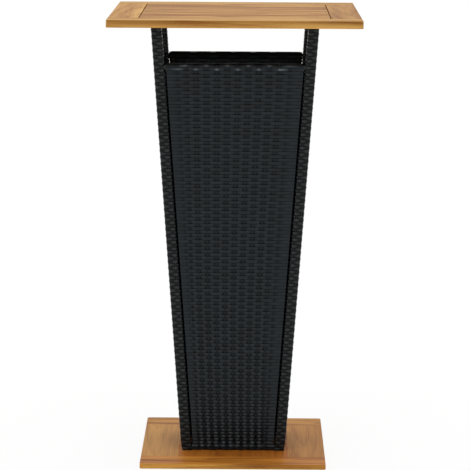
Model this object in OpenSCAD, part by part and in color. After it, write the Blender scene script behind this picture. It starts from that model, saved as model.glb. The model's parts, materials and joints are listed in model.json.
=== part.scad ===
// Rattan bar table: a square wooden top on a leaning, open-topped tower of woven
// panels between four wrapped legs, standing on a square wooden base.
// Origin on the floor under the middle of the table, +Z up, front towards -Y.

/* [Overall] */
// Height of the table from the floor to the upper face of the top
table_h = 1100; // [950:10:1200]
// Height of the open gap between the rim of the tower and the underside of the top
window_h = 96; // [60:2:160]

/* [Top] */
// Width of the top, side to side
top_w = 600; // [500:10:800]
// Depth of the top, front to back
top_d = 600; // [500:10:800]
// Thickness of the boards of the top
top_t = 18; // [16:1:28]
// Width of the four boards that frame the top
top_frame_w = 72; // [60:1:90]
// Number of boards inside the frame of the top
top_board_count = 5; // [3:1:7]
// Open joint between the ends of the inner boards and the side boards
top_joint_gap = 2.5; // [1:0.5:4]
// Corner radius of the top, seen from above
top_corner_r = 4; // [2:1:12]

/* [Base] */
// Width of the base, side to side
base_w = 454; // [400:2:560]
// Depth of the base, front to back
base_d = 454; // [400:2:560]
// Thickness of the boards of the base
base_t = 12; // [11:1:20]
// Width of the front and back boards of the base
base_rail_w = 72; // [60:1:80]
// Number of boards between the front and back boards of the base
base_board_count = 5; // [3:2:7]
// Corner radius of the base, seen from above
base_corner_r = 6; // [2:1:14]

/* [Board joints] */
// Thickness of the tongues on the inner boards of the top
top_tongue_t = 6; // [4:0.5:8]
// Thickness of the tongues on the inner boards of the base
base_tongue_t = 4; // [3:0.5:5]
// Length of a tongue inside its groove
tongue_l = 8; // [5:1:12]
// Thickness of the tenons on the side boards of the top
tenon_t = 8; // [5:0.5:9]
// Width of the tenons on the side boards of the top
tenon_w = 40; // [25:1:48]
// Length of the tenons on the side boards of the top
tenon_l = 20; // [10:1:30]
// Clearance round a tongue or a tenon
joint_clear = 0.2; // [0.1:0.05:0.5]

/* [Tower] */
// Width across the legs under the top
tower_top_w = 404; // [340:2:460]
// Depth across the legs under the top
tower_top_d = 344; // [300:2:460]
// Width across the legs on the base
tower_foot_w = 258; // [230:1:320]
// Depth across the legs on the base
tower_foot_d = 200; // [180:1:280]

/* [Legs] */
// Outer size of the square leg tube
leg_tube_w = 20; // [16:1:25]
// Wall of the leg tube
leg_wall = 1.5; // [1:0.1:2.5]
// Thickness of the woven wrap round a leg tube
leg_wrap_t = 3; // [2:0.25:4]
// Size of the square plate welded to the upper end of a leg
top_plate_w = 55; // [50:1:64]
// Thickness of the plate under the top
top_plate_t = 3; // [2:0.5:5]
// Size of the square plate welded to the lower end of a leg, behind the panels
foot_plate_w = 42; // [38:1:50]
// Thickness of the plate on the base
foot_plate_t = 3; // [2:0.5:5]
// Radius of the corners of both plates
plate_corner_r = 3; // [1:0.5:6]

/* [Woven panels] */
// Open seam between a leg and the panel next to it
seam_w = 3; // [2:0.5:6]
// How far the outer face of a panel lies behind the outer faces of the legs
panel_inset = 3; // [2:0.5:8]
// Outer size of the square bars that carry a panel
bar_w = 8; // [7:0.5:10]
// Wall of the bars
bar_wall = 1; // [0.8:0.1:1.5]
// Thickness of the strands where they wrap round a bar
strand_wrap_t = 2.5; // [2:0.25:3.5]
// Thickness of the weave between the bars
weave_t = 5; // [4:0.25:6]
// Height of the strand fold above the top bar of a panel
rim_fold = 5; // [3:0.5:10]
// Size of the corner cut at both ends of the rim
rim_cut = 5; // [2:0.5:8]
// Clearance under the panels, and between them and the foot plates
panel_foot_clear = 0.5; // [0.3:0.1:1.5]
// Clearance round a bar or a foot plate where it passes through a leg wrap
notch_clear = 0.2; // [0.1:0.05:0.5]

/* [Fasteners and glides] */
// Diameter of the wood screws that hold the top
screw_d = 4; // [3:0.5:5]
// Depth of the wood screws in the top
screw_bite = 12; // [8:0.5:14]
// Diameter of the wood screw heads
screw_head_d = 8; // [7:0.5:10]
// Height of the wood screw heads
screw_head_h = 2.5; // [1.5:0.25:4]
// Diameter of the bolts that hold the base
bolt_d = 6; // [5:1:6]
// Diameter of the countersunk bolt heads
bolt_head_d = 12; // [11:0.5:14]
// Depth of a bolt head below the underside of the base
bolt_sink = 0.5; // [0.2:0.1:1]
// Width of the nuts across flats
nut_w = 10; // [9:0.5:13]
// Height of the nuts
nut_h = 5; // [4:0.5:7]
// Length of a bolt above its nut
bolt_end = 1.5; // [0.5:0.5:4]
// Clearance in diameter between a screw or bolt and its hole
hole_clear = 0.4; // [0.2:0.1:1]
// Diameter of the glides under the base
glide_d = 22; // [16:1:30]
// Thickness of the glides
glide_t = 2; // [1.5:0.5:4]
// Distance from the edges of the base to the middle of a glide
glide_inset = 35; // [25:1:50]
// Diameter of the pin on a glide
glide_pin_d = 3; // [2:0.5:4]
// Length of the pin on a glide
glide_pin_l = 7; // [4:0.5:9]

/* [Hidden] */
$fn = 48;

wood_colour = "#c29a69";
wood_edge_colour = "#b98d57";
strand_colour = "#25282b";
steel_colour = "#1b1c1d";
zinc_colour = "#a9abad";
glide_colour = "#3a3a3a";

leg_w = leg_tube_w + 2 * leg_wrap_t;
panel_t = bar_w + 2 * strand_wrap_t;
panel_end_inset = leg_w + seam_w;
bar_inset = panel_inset + strand_wrap_t;
stile_inset = panel_end_inset + strand_wrap_t;

base_z0 = glide_t;
base_z1 = base_z0 + base_t;
foot_plate_z1 = base_z1 + foot_plate_t;
top_z1 = table_h;
top_z0 = table_h - top_t;
top_plate_z0 = top_z0 - top_plate_t;
panel_z0 = base_z1 + panel_foot_clear;
rim_z = top_z0 - window_h;
foot_rail_z0 = panel_z0 + strand_wrap_t;
foot_rail_z1 = foot_rail_z0 + bar_w;
rim_rail_z1 = rim_z - rim_fold;
rim_rail_z0 = rim_rail_z1 - bar_w;
mid_rail_z0 = (panel_z0 + rim_z - bar_w) / 2;
mid_rail_z1 = mid_rail_z0 + bar_w;

top_inner_w = top_w - 2 * top_frame_w;
top_inner_d = top_d - 2 * top_frame_w;
top_board_w = top_inner_d / top_board_count;
base_inner_d = base_d - 2 * base_rail_w;
base_board_w = base_w / base_board_count;

// Middle of the free part of each plate, measured from the outer faces of the leg
top_plate_free_mid = (leg_w + top_plate_w) / 2;
foot_plate_inset = panel_inset + panel_t + panel_foot_clear;
foot_plate_free_mid = (leg_w + foot_plate_inset + foot_plate_w) / 2;
screw_edge = leg_w / 2;
bolt_neck_h = (bolt_head_d - bolt_d) / 2;
bolt_z0 = base_z0 + bolt_sink;
bolt_z1 = foot_plate_z1 + nut_h + bolt_end;
past = 1;

CORNERS = ["front_left", "front_right", "back_left", "back_right"];
SIDES = ["front", "back", "left", "right"];
ENDS = [-1, 1];

// Half of the width or depth of the tower at height z, from its size at the foot and the top
function half_at(foot, top, z) = (foot + (top - foot) * (z - base_z1) / (top_z0 - base_z1)) / 2;

// Leaning strip between two heights, a given distance inside the outer face of the legs
function strip(foot, top, inset, width, z0, z1) = [
    [half_at(foot, top, z0) - inset - width, z0],
    [half_at(foot, top, z0) - inset, z0],
    [half_at(foot, top, z1) - inset, z1],
    [half_at(foot, top, z1) - inset - width, z1]
];

// Whole span of the tower between two heights, drawn in from both sides
function span(foot, top, inset, z0, z1) = [
    [-half_at(foot, top, z0) + inset, z0],
    [half_at(foot, top, z0) - inset, z0],
    [half_at(foot, top, z1) - inset, z1],
    [-half_at(foot, top, z1) + inset, z1]
];

// Outline drawn in X and Z, run through the whole depth of the table
module through_y() {
    translate([0, top_d, 0])
        rotate([90, 0, 0])
            linear_extrude(2 * top_d)
                children();
}

// Outline drawn in Y and Z, run through the whole width of the table
module through_x() {
    translate([-top_w, 0, 0])
        rotate([90, 0, 90])
            linear_extrude(2 * top_w)
                children();
}

// Block centred on X and Y, standing between two heights
module block(w, d, z0, z1) {
    translate([-w / 2, -d / 2, z0])
        cube([w, d, z1 - z0]);
}

module rounded_plate(w, d, r, z0, z1) {
    translate([0, 0, z0])
        linear_extrude(z1 - z0)
            union() {
                square([w - 2 * r, d], center = true);
                square([w, d - 2 * r], center = true);
                for (x = ENDS, y = ENDS)
                    translate([x * (w / 2 - r), y * (d / 2 - r)])
                        circle(r);
            }
}

// Puts what is drawn at the back right at one of the four corners
module at_corner(corner) {
    is_left = corner == "front_left" || corner == "back_left";
    is_front = corner == "front_left" || corner == "front_right";
    mirror([is_left ? 1 : 0, 0, 0])
        mirror([0, is_front ? 1 : 0, 0])
            children();
}

module at_corners() {
    for (corner = CORNERS)
        at_corner(corner)
            children();
}

// Places of the screws under the top and of the bolts in the base
module at_screws() {
    x = tower_top_w / 2;
    y = tower_top_d / 2;
    at_corners() {
        translate([x - top_plate_free_mid, y - screw_edge, 0])
            children();
        translate([x - screw_edge, y - top_plate_free_mid, 0])
            children();
    }
}

module at_bolts() {
    at_corners()
        translate([tower_foot_w / 2 - foot_plate_free_mid, tower_foot_d / 2 - foot_plate_free_mid, 0])
            children();
}

module at_glides() {
    at_corners()
        translate([base_w / 2 - glide_inset, base_d / 2 - glide_inset, 0])
            children();
}

module screw_holes(z0, z1) {
    at_screws()
        translate([0, 0, z0])
            cylinder(h = z1 - z0, d = screw_d + hole_clear);
}

module bolt_holes(z0, z1) {
    at_bolts()
        translate([0, 0, z0])
            cylinder(h = z1 - z0, d = bolt_d + hole_clear);
}

module bolt_sinks() {
    at_bolts()
        translate([0, 0, bolt_z0])
            cylinder(h = bolt_neck_h, d1 = bolt_head_d + hole_clear, d2 = bolt_d + hole_clear);
    at_bolts()
        translate([0, 0, base_z0 - past])
            cylinder(h = bolt_sink + past, d = bolt_head_d + hole_clear);
}

// The part of the top or base outline that one board covers
module top_part(x0, x1, y0, y1) {
    intersection() {
        rounded_plate(top_w, top_d, top_corner_r, top_z0, top_z1);
        translate([x0, y0, top_z0 - past])
            cube([x1 - x0, y1 - y0, top_t + 2 * past]);
    }
}

module base_part(x0, x1, y0, y1) {
    intersection() {
        rounded_plate(base_w, base_d, base_corner_r, base_z0, base_z1);
        translate([x0, y0, base_z0 - past])
            cube([x1 - x0, y1 - y0, base_t + 2 * past]);
    }
}

// Bar through the middle of the top's thickness, for tenons, tongues and their sockets
module top_core(x0, x1, y0, y1, t) {
    translate([x0, y0, (top_z0 + top_z1 - t) / 2])
        cube([x1 - x0, y1 - y0, t]);
}

module base_core(x0, x1, y0, y1, t) {
    translate([x0, y0, (base_z0 + base_z1 - t) / 2])
        cube([x1 - x0, y1 - y0, t]);
}

// Board across the back of the top, with a mortise for each side board
module top_rail_at_back() {
    mid_x = (top_w - top_frame_w) / 2;
    socket_w = tenon_w + 2 * joint_clear;
    y = top_inner_d / 2;
    color(wood_edge_colour)
        difference() {
            top_part(-top_w / 2, top_w / 2, y, top_d / 2);
            for (x = ENDS)
                top_core(x * mid_x - socket_w / 2, x * mid_x + socket_w / 2,
                    y - past, y + tenon_l + joint_clear, tenon_t + 2 * joint_clear);
            screw_holes(top_z0 - past, top_z0 + screw_bite);
        }
}

module top_rail_back() {
    top_rail_at_back();
}

module top_rail_front() {
    mirror([0, 1, 0])
        top_rail_at_back();
}

// Side board of the top: tenons at both ends, a groove for the tongues of the inner boards
module top_stile_at_right() {
    mid_x = (top_w - top_frame_w) / 2;
    x = top_inner_w / 2;
    y = top_inner_d / 2;
    color(wood_edge_colour)
        difference() {
            union() {
                top_part(x, top_w / 2, -y, y);
                top_core(mid_x - tenon_w / 2, mid_x + tenon_w / 2,
                    -y - tenon_l, y + tenon_l, tenon_t);
            }
            top_core(x - past, x + tongue_l + joint_clear,
                -y - past, y + past, top_tongue_t + 2 * joint_clear);
            screw_holes(top_z0 - past, top_z0 + screw_bite);
        }
}

module top_stile_right() {
    top_stile_at_right();
}

module top_stile_left() {
    mirror([1, 0, 0])
        top_stile_at_right();
}

// Inner board of the top, number 1 at the front
module top_board(i) {
    y0 = -top_inner_d / 2 + (i - 1) * top_board_w;
    y1 = y0 + top_board_w;
    x = top_inner_w / 2;
    color(wood_colour)
        difference() {
            union() {
                top_part(-x + top_joint_gap, x - top_joint_gap, y0, y1);
                top_core(-x - tongue_l, x + tongue_l, y0, y1, top_tongue_t);
            }
            screw_holes(top_z0 - past, top_z0 + screw_bite);
        }
}

// Board across the back of the base, with a groove for the tongues of the inner boards
module base_rail_at_back() {
    y = base_inner_d / 2;
    color(wood_edge_colour)
        difference() {
            base_part(-base_w / 2, base_w / 2, y, base_d / 2);
            base_core(-base_w / 2 - past, base_w / 2 + past,
                y - past, y + tongue_l + joint_clear, base_tongue_t + 2 * joint_clear);
            at_glides()
                translate([0, 0, base_z0 - past])
                    cylinder(h = glide_pin_l + past + joint_clear, d = glide_pin_d + hole_clear);
        }
}

module base_rail_back() {
    base_rail_at_back();
}

module base_rail_front() {
    mirror([0, 1, 0])
        base_rail_at_back();
}

// Board of the base that runs front to back, number 1 at the left
module base_board(i) {
    x0 = -base_w / 2 + (i - 1) * base_board_w;
    x1 = x0 + base_board_w;
    y = base_inner_d / 2;
    color(wood_colour)
        difference() {
            union() {
                base_part(x0, x1, -y, y);
                base_core(x0, x1, -y - tongue_l, y + tongue_l, base_tongue_t);
            }
            bolt_holes(base_z0 - past, base_z1 + past);
            bolt_sinks();
        }
}

// Leaning square column a given distance inside the outer faces of a leg
module leg_column(inset, width, z0, z1) {
    intersection() {
        through_y()
            polygon(strip(tower_foot_w, tower_top_w, inset, width, z0, z1));
        through_x()
            polygon(strip(tower_foot_d, tower_top_d, inset, width, z0, z1));
    }
}

// Plate under the top, with its outer faces flush with the leg wrap
module top_plate() {
    translate([(tower_top_w - top_plate_w) / 2, (tower_top_d - top_plate_w) / 2, 0])
        rounded_plate(top_plate_w, top_plate_w, plate_corner_r, top_plate_z0, top_z0);
}

// Plate on the base, on the inner corner of a leg and clear of the panels, grown by a clearance
module foot_plate(grow) {
    mid = foot_plate_inset + foot_plate_w / 2;
    w = foot_plate_w + 2 * grow;
    translate([tower_foot_w / 2 - mid, tower_foot_d / 2 - mid, 0])
        rounded_plate(w, w, plate_corner_r, base_z1 - grow, foot_plate_z1 + grow);
}

// Steel tube with its two welded plates
module leg(corner) {
    color(steel_colour)
        difference() {
            at_corner(corner)
                difference() {
                    union() {
                        leg_column(leg_wrap_t, leg_tube_w, base_z1, top_z0);
                        foot_plate(0);
                        top_plate();
                    }
                    leg_column(leg_wrap_t + leg_wall, leg_tube_w - 2 * leg_wall,
                        base_z1 - past, top_z0 + past);
                }
            bolt_holes(base_z1 - past, foot_plate_z1 + past);
            screw_holes(top_plate_z0 - past, top_z0 + past);
        }
}

// Sleeve of woven strands round a leg tube, notched where bars and the foot plate are welded to it
module leg_wrap(corner) {
    color(strand_colour)
        difference() {
            at_corner(corner)
                difference() {
                    leg_column(0, leg_w, base_z1, top_plate_z0);
                    leg_column(leg_wrap_t, leg_tube_w, base_z1 - past, top_plate_z0 + past);
                    foot_plate(notch_clear);
                }
            for (side = SIDES) {
                panel_bar(side, rim_rail_z0, rim_rail_z1, leg_wrap_t, notch_clear);
                panel_bar(side, foot_rail_z0, foot_rail_z1, leg_wrap_t, notch_clear);
            }
        }
}

// Turns a panel drawn at the back to one of the four sides
module on_side(side) {
    if (side == "back")
        children(0);
    if (side == "front")
        mirror([0, 1, 0])
            children(0);
    if (side == "right")
        children(1);
    if (side == "left")
        mirror([1, 0, 0])
            children(1);
}

// Solid that shows the drawn outline square to the panel and the edge points along it
module panel_solid(side, edge) {
    on_side(side) {
        intersection() {
            through_y()
                children();
            through_x()
                polygon(edge);
        }
        intersection() {
            through_x()
                children();
            through_y()
                polygon(edge);
        }
    }
}

// The two sizes of the tower that a panel is measured along, and the two across it
function is_wide(side) = side == "front" || side == "back";
function along_foot(side) = is_wide(side) ? tower_foot_w : tower_foot_d;
function along_top(side) = is_wide(side) ? tower_top_w : tower_top_d;
function across_foot(side) = is_wide(side) ? tower_foot_d : tower_foot_w;
function across_top(side) = is_wide(side) ? tower_top_d : tower_top_w;

// Half the length of a panel at height z, drawn in from the outer face of a leg
function half_length(side, inset, z) = half_at(along_foot(side), along_top(side), z) - inset;

// Span of a panel between two heights, as seen square to it
function face_span(side, inset, z0, z1) = span(along_foot(side), along_top(side), inset, z0, z1);

// Upright strip of a panel between two heights, as seen square to it
function face_strip(side, inset, width, z0, z1) =
    strip(along_foot(side), along_top(side), inset, width, z0, z1);

// Thickness of a panel between two heights, as seen along it
function edge_strip(side, inset, t, z0, z1) =
    strip(across_foot(side), across_top(side), inset, t, z0, z1);

// Span of a panel between two heights, drawn in from the outer faces of both legs
module panel_span(side, end_inset, face_inset, t, z0, z1) {
    panel_solid(side, edge_strip(side, face_inset, t, z0, z1))
        polygon(face_span(side, end_inset, z0, z1));
}

// Level bar in the plane of the panel bars, as long as the end inset allows, grown by a clearance
module panel_bar(side, z0, z1, end_inset, grow) {
    panel_span(side, end_inset, bar_inset - grow, bar_w + 2 * grow, z0 - grow, z1 + grow);
}

// Level bar of a panel as a square tube
module panel_tube(side, z0, z1, end_inset) {
    color(steel_colour)
        difference() {
            panel_bar(side, z0, z1, end_inset, 0);
            panel_bar(side, z0, z1, end_inset - past, -bar_wall);
        }
}

// Welded between the leg tubes, through the leg wraps
module rim_rail(side) {
    panel_tube(side, rim_rail_z0, rim_rail_z1, leg_wrap_t + leg_tube_w);
}

module foot_rail(side) {
    panel_tube(side, foot_rail_z0, foot_rail_z1, leg_wrap_t + leg_tube_w);
}

// Welded between the upright bars
module mid_rail(side) {
    panel_tube(side, mid_rail_z0, mid_rail_z1, stile_inset + bar_w);
}

// Upright bar at one end of a panel, grown or shrunk by a clearance
module stile_bar(side, end, z0, z1, grow) {
    flip = end == 1 ? 1 : 0;
    mirror(is_wide(side) ? [flip, 0, 0] : [0, flip, 0])
        panel_solid(side, edge_strip(side, bar_inset - grow, bar_w + 2 * grow, z0, z1))
            polygon(face_strip(side, stile_inset - grow, bar_w + 2 * grow, z0, z1));
}

module stile(side, end) {
    color(steel_colour)
        difference() {
            stile_bar(side, end, foot_rail_z1, rim_rail_z0, 0);
            stile_bar(side, end, foot_rail_z1 - past, rim_rail_z0 + past, -bar_wall);
        }
}

// Outline of a woven panel, with its two upper corners cut
module weave_outline(side) {
    low = half_length(side, panel_end_inset, panel_z0);
    shoulder = half_length(side, panel_end_inset, rim_z - rim_cut);
    crown = half_length(side, panel_end_inset + rim_cut, rim_z);
    polygon([
        [-low, panel_z0],
        [low, panel_z0],
        [shoulder, rim_z - rim_cut],
        [crown, rim_z],
        [-crown, rim_z],
        [-shoulder, rim_z - rim_cut]
    ]);
}

// Outline of all the bars inside a woven panel
module bars_outline(side) {
    polygon(face_span(side, leg_w, rim_rail_z0, rim_rail_z1));
    polygon(face_span(side, leg_w, foot_rail_z0, foot_rail_z1));
    polygon(face_span(side, stile_inset + bar_w / 2, mid_rail_z0, mid_rail_z1));
    for (flip = [0, 1])
        mirror([flip, 0])
            polygon(face_strip(side, stile_inset, bar_w, foot_rail_z0 + past, rim_rail_z1 - past));
}

// Woven skin of one panel: thin between the bars, folded round them at all four edges
module weave(side) {
    field_inset = stile_inset + bar_w + strand_wrap_t;
    color(strand_colour)
        difference() {
            panel_solid(side, edge_strip(side, panel_inset, panel_t, panel_z0 - past, rim_z + past))
                weave_outline(side);
            panel_span(side, field_inset, panel_inset + weave_t, panel_t,
                foot_rail_z1 + strand_wrap_t, rim_rail_z0 - strand_wrap_t);
            panel_solid(side, edge_strip(side, bar_inset, bar_w, foot_rail_z0 - past, rim_rail_z1 + past))
                bars_outline(side);
        }
}

module top_screws() {
    color(zinc_colour)
        at_screws()
            translate([0, 0, top_plate_z0 - screw_head_h]) {
                cylinder(h = screw_head_h, d = screw_head_d);
                cylinder(h = screw_head_h + top_plate_t + screw_bite - past, d = screw_d);
            }
}

module base_bolts() {
    color(zinc_colour)
        at_bolts()
            translate([0, 0, bolt_z0]) {
                cylinder(h = bolt_neck_h, d1 = bolt_head_d, d2 = bolt_d);
                cylinder(h = bolt_z1 - bolt_z0, d = bolt_d);
            }
}

// Nuts welded to the foot plates
module base_nuts() {
    across_points = nut_w / cos(30);
    color(zinc_colour)
        at_bolts()
            translate([0, 0, foot_plate_z1])
                difference() {
                    cylinder(h = nut_h, d = across_points, $fn = 6);
                    translate([0, 0, -past])
                        cylinder(h = nut_h + 2 * past, d = bolt_d + hole_clear);
                }
}

module glides() {
    color(glide_colour)
        at_glides() {
            cylinder(h = glide_t, d = glide_d);
            cylinder(h = glide_t + glide_pin_l, d = glide_pin_d);
        }
}

top_rail_front();
top_rail_back();
top_stile_left();
top_stile_right();
for (i = [1 : top_board_count])
    top_board(i);
base_rail_front();
base_rail_back();
for (i = [1 : base_board_count])
    base_board(i);
for (c = CORNERS) {
    leg(c);
    leg_wrap(c);
}
for (s = SIDES) {
    rim_rail(s);
    mid_rail(s);
    foot_rail(s);
    for (e = [1, 2])
        stile(s, e);
    weave(s);
}
top_screws();
base_bolts();
base_nuts();
glides();
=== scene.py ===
import json
import math
import random

import bmesh
import bpy
from mathutils import Matrix, Vector


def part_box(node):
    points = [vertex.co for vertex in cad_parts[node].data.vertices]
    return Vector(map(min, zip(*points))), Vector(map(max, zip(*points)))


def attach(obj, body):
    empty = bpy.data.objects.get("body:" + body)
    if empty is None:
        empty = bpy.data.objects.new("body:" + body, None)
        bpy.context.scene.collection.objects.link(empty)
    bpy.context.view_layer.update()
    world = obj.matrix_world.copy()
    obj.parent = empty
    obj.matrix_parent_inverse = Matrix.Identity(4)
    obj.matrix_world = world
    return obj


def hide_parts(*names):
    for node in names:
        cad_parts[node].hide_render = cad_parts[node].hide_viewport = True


# Rattan bar table: oiled acacia top and base, and a leaning tower of woven black strands
# on a steel frame. Metres, +Z up, front towards -Y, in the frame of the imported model.

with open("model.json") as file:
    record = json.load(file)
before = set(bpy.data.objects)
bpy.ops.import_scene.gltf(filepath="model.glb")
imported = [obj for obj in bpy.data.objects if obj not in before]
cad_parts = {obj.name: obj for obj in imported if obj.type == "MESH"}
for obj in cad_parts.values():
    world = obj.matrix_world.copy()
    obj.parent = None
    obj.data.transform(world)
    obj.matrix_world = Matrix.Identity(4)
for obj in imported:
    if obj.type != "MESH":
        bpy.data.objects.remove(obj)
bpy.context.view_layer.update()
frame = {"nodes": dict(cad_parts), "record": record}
mm = 0.001
print("bar table: frame loaded,", len(frame["nodes"]), "nodes")


def hexToLinear(code):
    values = [int(code[i:i + 2], 16) / 255 for i in (1, 3, 5)]
    return tuple(v / 12.92 if v <= 0.04045 else ((v + 0.055) / 1.055) ** 2.4 for v in values) + (1.0,)


# Adds a node; an input may be a value, a socket, or a node whose first output is wanted
def addNode(tree, kind, inputs=None, **settings):
    node = tree.nodes.new(kind)
    for key, value in settings.items():
        setattr(node, key, value)
    for key, value in (inputs or {}).items():
        if isinstance(value, bpy.types.Node):
            value = value.outputs[0]
        if isinstance(value, bpy.types.NodeSocket):
            tree.links.new(value, node.inputs[key])
        else:
            node.inputs[key].default_value = value
    return node


def newMaterial(name, **shaderValues):
    material = bpy.data.materials.new(name)
    material.use_nodes = True
    shader = material.node_tree.nodes["Principled BSDF"]
    for key, value in shaderValues.items():
        shader.inputs[key.replace("_", " ")].default_value = value
    return material, material.node_tree, shader


def addObject(name, data):
    obj = bpy.data.objects.new(name, data)
    bpy.context.scene.collection.objects.link(obj)
    return obj


# Camera and light
camera = {
    "place": (0.0383, -5.6539, 1.5312),
    "lens": 176.268,
    "sensor": 36,
    "near": 0.1,
    "far": 200,
    "down": 9.924,  # degrees
    "turn": -0.3733,
    "roll": 0.3028,
}


def makeCamera():
    data = bpy.data.cameras.new("camera")
    data.lens = camera["lens"]
    data.sensor_width = camera["sensor"]
    data.clip_start = camera["near"]
    data.clip_end = camera["far"]
    obj = addObject("camera", data)
    down, turn, roll = (math.radians(camera[key]) for key in ("down", "turn", "roll"))
    ahead = Vector((math.sin(turn) * math.cos(down), math.cos(turn) * math.cos(down), -math.sin(down)))
    right = Vector((math.cos(turn), -math.sin(turn), 0))
    up = right.cross(ahead)
    across = math.cos(roll) * right + math.sin(roll) * up
    upward = math.cos(roll) * up - math.sin(roll) * right
    turned = Matrix((across, upward, -ahead)).transposed().to_4x4()
    obj.matrix_world = Matrix.Translation(camera["place"]) @ turned
    bpy.context.scene.camera = obj


# Soft lamps at the sides and above, each as wide as a softbox seen from the table
lamps = {
    "lampLeft": {"from": (-0.9, -1.0, 0.2), "strength": 0.6, "wide": 30},
    "lampRight": {"from": (0.9, -1.0, 0.2), "strength": 0.45, "wide": 30},
    "lampAbove": {"from": (0.0, 0.1, 1.0), "strength": 1.3, "wide": 60},
}
studio = {
    "overhead": 0.8,  # pale ceiling
    "around": 0.2,  # greyer walls
    "ceilingFrom": 0.2,  # height of the look upwards, as a sine, over which one turns to the other
    "ceilingTo": 0.65,
    "floorColour": "#f7f7f6",
    "floorWhite": 0.88,  # share of plain white that is seen in the floor
    "floorSide": 6.0,
    "floorFront": 4.5,
    "floorBack": 30.0,
}


# 1 for the rays that see plain white surroundings: the camera's and those of gloss and glass
def whiteRays(tree):
    rays = addNode(tree, "ShaderNodeLightPath").outputs
    white = rays["Is Camera Ray"]
    for kind in ("Is Glossy Ray", "Is Transmission Ray"):
        white = addNode(tree, "ShaderNodeMath", {0: white, 1: rays[kind]}, operation="MAXIMUM")
    return white


def makeStudio():
    for name, lamp in lamps.items():
        data = bpy.data.lights.new(name, "SUN")
        data.energy = lamp["strength"]
        data.angle = math.radians(lamp["wide"])
        turned = Vector(lamp["from"]).to_track_quat("Z", "Y")
        addObject(name, data).rotation_euler = turned.to_euler()
    world = bpy.data.worlds.new("studio")
    bpy.context.scene.world = world
    world.use_nodes = True
    tree = world.node_tree
    way = addNode(tree, "ShaderNodeTexCoord").outputs["Generated"]
    height = addNode(tree, "ShaderNodeSeparateXYZ", {0: way})
    level = addNode(tree, "ShaderNodeMapRange", {
        "Value": height.outputs[2],
        "From Min": studio["ceilingFrom"],
        "From Max": studio["ceilingTo"],
        "To Min": studio["around"],
        "To Max": studio["overhead"],
    }, interpolation_type="SMOOTHSTEP")
    shown = addNode(tree, "ShaderNodeMix", {"Factor": whiteRays(tree), 2: level, 3: 1.0}, data_type="FLOAT")
    tree.links.new(shown.outputs[0], tree.nodes["Background"].inputs["Strength"])
    tree.nodes["Background"].inputs["Color"].default_value = (1, 1, 1, 1)

    side, front, back = studio["floorSide"], -studio["floorFront"], studio["floorBack"]
    corners = [(-side, front, 0), (side, front, 0), (side, back, 0), (-side, back, 0)]
    mesh = bpy.data.meshes.new("floor")
    mesh.from_pydata(corners, [], [(0, 1, 2, 3)])
    floor = addObject("floor", mesh)
    colour = hexToLinear(studio["floorColour"])
    material, tree, shader = newMaterial(
        "paperFloor", Base_Color=colour, Roughness=1.0, Specular_IOR_Level=0.0)
    share = addNode(tree, "ShaderNodeMath", {
        0: whiteRays(tree),
        1: studio["floorWhite"],
    }, operation="MULTIPLY")
    white = addNode(tree, "ShaderNodeEmission", {"Color": (1, 1, 1, 1), "Strength": 1.0})
    mixed = addNode(tree, "ShaderNodeMixShader", {0: share, 1: shader, 2: white})
    tree.links.new(mixed.outputs[0], tree.nodes["Material Output"].inputs["Surface"])
    mesh.materials.append(material)


makeCamera()
makeStudio()
bpy.context.scene.view_settings.view_transform = "Standard"
print("bar table: camera, lamps and floor made")

# Oiled acacia, planed and sanded: honey ground, brown growth lines, fine open pores, soft sheen
woodLooks = {
    "top_frame_wood": {
        "light": "#cb9f5b", "dark": "#936127", "lines": 0.35, "bands": 0.75, "fibres": 1.6,
        "roughness": 0.55, "shine": 0.12,
    },
    "top_board_wood": {
        "light": "#c69857", "dark": "#895624", "lines": 0.65, "bands": 1.0, "fibres": 1.9,
        "roughness": 0.55, "shine": 0.12,
    },
    "base_rail_wood": {
        "light": "#c88433", "dark": "#7e400d", "lines": 0.5, "bands": 0.75, "fibres": 1.3,
        "roughness": 0.5, "shine": 0.15,
    },
    "base_board_wood": {
        "light": "#c58d45", "dark": "#8b521c", "lines": 0.26, "bands": 0.45, "fibres": 1.3,
        "roughness": 0.5, "shine": 0.15,
    },
}
# Sizes in metres; the grain attribute holds metres along, across and through a board
woodGrain = {
    "ringWidth": 13 * mm,
    "lineFrom": 0.25,  # where in a ring the wood starts to darken, and where it is darkest
    "lineTo": 0.92,
    "lineSharpness": 2.2,
    "heartDepth": 34 * mm,  # how far below a board's middle the heart of the log lies
    "heartTilt": 0.055,  # how fast the heart sinks along a board, which draws the arches
    "wander": 23.4 * mm,  # how far a growth line strays
    "wanderWidth": 90.9 * mm,
    "wanderLength": 526.3 * mm,
    "fibreWidth": 2.6 * mm,  # real fibres are finer; drawn as coarse as the render can show
    "fibreLength": 110 * mm,
    "bandWidth": 38 * mm,
    "bandLength": 520 * mm,
    "bandRange": (0.38, 0.72),  # noise from pale to dark
    "poreWidth": 0.9 * mm,
    "poreLength": 13 * mm,
    "poreRange": (0.62, 0.74),  # noise from closed to open
    "poreDark": 0.35,
    "relief": 0.25 * mm,
    "reliefStrength": 0.22,
}


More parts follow.
